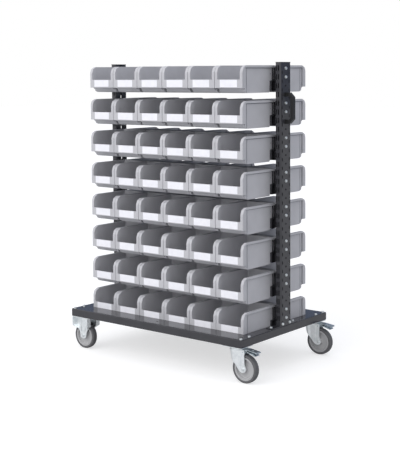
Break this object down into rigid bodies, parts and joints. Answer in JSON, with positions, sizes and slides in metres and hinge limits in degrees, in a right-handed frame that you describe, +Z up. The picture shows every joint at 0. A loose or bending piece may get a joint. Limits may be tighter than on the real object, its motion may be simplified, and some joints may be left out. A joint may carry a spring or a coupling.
{
  "type": "mobile bin cart",
  "caption": "Double-sided cart with rows of open-front hook-on bins on rails between two perforated posts, on a steel base with swivel and fixed casters.",
  "frame": {"origin": "on the floor, under the middle of the bounding box", "axes": "+X along the cart towards the swivel casters and the handle, +Y from the front to the back, +Z up"},
  "size_m": [1.0954, 0.671, 1.3722],
  "materials": {
    "frame_paint": "semi-gloss powder coat",
    "zinc": "bright zinc plate",
    "caster_steel": "zinc plate",
    "bin_plastic": "satin polypropylene",
    "card": "plain card",
    "grip": "black",
    "rim_plastic": "moulded",
    "tyre_rubber": "soft grey rubber",
    "cap_plastic": "black"
  },
  "bodies": {
    "cart": {"base_side_front": "frame_paint", "base_side_back": "frame_paint", "base_end_left": "frame_paint", "base_end_right": "frame_paint", "foot_brackets": "frame_paint", "base_bolts": "zinc", "post_left": "frame_paint", "post_right": "frame_paint", "post_caps": "cap_plastic", "rails_front": "frame_paint", "rails_back": "frame_paint", "rail_brackets": "frame_paint", "post_bolts": "zinc", "handle": "grip", "handle_screws": "zinc", "swivel_plate_front": "caster_steel", "swivel_plate_back": "caster_steel", "fixed_fork_front": "caster_steel", "fixed_fork_back": "caster_steel", "fixed_axle_front": "caster_steel", "fixed_axle_back": "caster_steel", "bins_front_row_2": "bin_plastic", "bins_front_row_3": "bin_plastic", "bins_front_row_4": "bin_plastic", "bins_front_row_5": "bin_plastic", "bins_front_row_6": "bin_plastic", "bins_front_row_7": "bin_plastic", "bins_front_row_8": "bin_plastic", "bins_back_upper": "bin_plastic", "bins_back_lower": "bin_plastic", "label_cards_front": "card", "label_cards_back": "card"},
    "swivel_front": {"swivel_fork_front": "caster_steel", "swivel_axle_front": "caster_steel"},
    "swivel_wheel_front": {"swivel_rim_front": "rim_plastic", "swivel_tyre_front": "tyre_rubber"},
    "pedal_front": {"brake_pedal_front": "caster_steel"},
    "swivel_back": {"swivel_fork_back": "caster_steel", "swivel_axle_back": "caster_steel"},
    "swivel_wheel_back": {"swivel_rim_back": "rim_plastic", "swivel_tyre_back": "tyre_rubber"},
    "pedal_back": {"brake_pedal_back": "caster_steel"},
    "fixed_wheel_front": {"fixed_rim_front": "rim_plastic", "fixed_tyre_front": "tyre_rubber"},
    "fixed_wheel_back": {"fixed_rim_back": "rim_plastic", "fixed_tyre_back": "tyre_rubber"},
    "bin_1": {"bin_top_front_1": "bin_plastic", "label_card_1": "card"},
    "bin_2": {"bin_top_front_2": "bin_plastic", "label_card_2": "card"},
    "bin_3": {"bin_top_front_3": "bin_plastic", "label_card_3": "card"},
    "bin_4": {"bin_top_front_4": "bin_plastic", "label_card_4": "card"},
    "bin_5": {"bin_top_front_5": "bin_plastic", "label_card_5": "card"},
    "bin_6": {"bin_top_front_6": "bin_plastic", "label_card_6": "card"}
  },
  "joints": [
    {"name": "swivel_front_turn", "type": "hinge", "parent": "cart", "child": "swivel_front", "pos_m": [0.43283, -0.293, 0.1505], "axis": [0, 0, 1], "continuous": true},
    {"name": "swivel_front_roll", "type": "hinge", "parent": "swivel_front", "child": "swivel_wheel_front", "pos_m": [0.47683, -0.293, 0.0625], "axis": [0, 1, 0], "continuous": true},
    {"name": "brake_front_press", "type": "hinge", "parent": "swivel_front", "child": "pedal_front", "pos_m": [0.47483, -0.293, 0.137], "axis": [0, 1, 0], "range_deg": [0, 15]},
    {"name": "swivel_back_turn", "type": "hinge", "parent": "cart", "child": "swivel_back", "pos_m": [0.43283, 0.293, 0.1505], "axis": [0, 0, 1], "continuous": true},
    {"name": "swivel_back_roll", "type": "hinge", "parent": "swivel_back", "child": "swivel_wheel_back", "pos_m": [0.47672, 0.29607, 0.0625], "axis": [-0.0698, 0.9976, 0], "continuous": true},
    {"name": "brake_back_press", "type": "hinge", "parent": "swivel_back", "child": "pedal_back", "pos_m": [0.47473, 0.29593, 0.137], "axis": [-0.0698, 0.9976, 0], "range_deg": [0, 15]},
    {"name": "fixed_front_roll", "type": "hinge", "parent": "cart", "child": "fixed_wheel_front", "pos_m": [-0.48517, -0.293, 0.0625], "axis": [0, 1, 0], "continuous": true},
    {"name": "fixed_back_roll", "type": "hinge", "parent": "cart", "child": "fixed_wheel_back", "pos_m": [-0.48517, 0.293, 0.0625], "axis": [0, 1, 0], "continuous": true},
    {"name": "bin_1_lift", "type": "slide", "parent": "cart", "child": "bin_1", "axis": [0, 0, 1], "range_m": [0, 0.055]},
    {"name": "bin_2_lift", "type": "slide", "parent": "cart", "child": "bin_2", "axis": [0, 0, 1], "range_m": [0, 0.055]},
    {"name": "bin_3_lift", "type": "slide", "parent": "cart", "child": "bin_3", "axis": [0, 0, 1], "range_m": [0, 0.055]},
    {"name": "bin_4_lift", "type": "slide", "parent": "cart", "child": "bin_4", "axis": [0, 0, 1], "range_m": [0, 0.055]},
    {"name": "bin_5_lift", "type": "slide", "parent": "cart", "child": "bin_5", "axis": [0, 0, 1], "range_m": [0, 0.055]},
    {"name": "bin_6_lift", "type": "slide", "parent": "cart", "child": "bin_6", "axis": [0, 0, 1], "range_m": [0, 0.055]}
  ]
}
